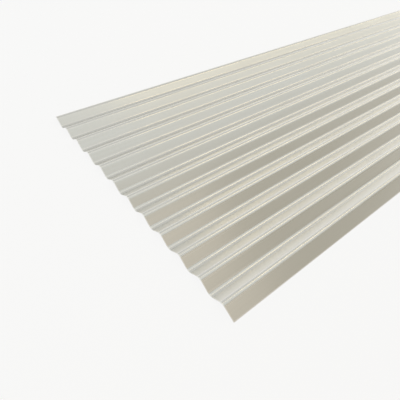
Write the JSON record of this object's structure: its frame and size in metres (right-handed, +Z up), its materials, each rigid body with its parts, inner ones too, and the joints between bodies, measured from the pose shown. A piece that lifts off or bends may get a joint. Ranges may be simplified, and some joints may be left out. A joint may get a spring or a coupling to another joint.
{
  "type": "corrugated metal sheet",
  "caption": "Roll-formed corrugated sheet of thin zinc-coated steel with round waves along its length and a lap edge on each side, for roofing and cladding.",
  "frame": {"origin": "middle of the sheet's length and width, at the level of the floor that its valleys rest on", "axes": "+X along the waves, +Y across them from the front lap edge to the rear lip, +Z up"},
  "size_m": [2.4, 0.891, 0.0185],
  "materials": {
    "zinc_coat": "smooth satin zinc coat, without spangle"
  },
  "bodies": {
    "root": {"corrugated_sheet": "zinc_coat"}
  },
  "joints": []
}
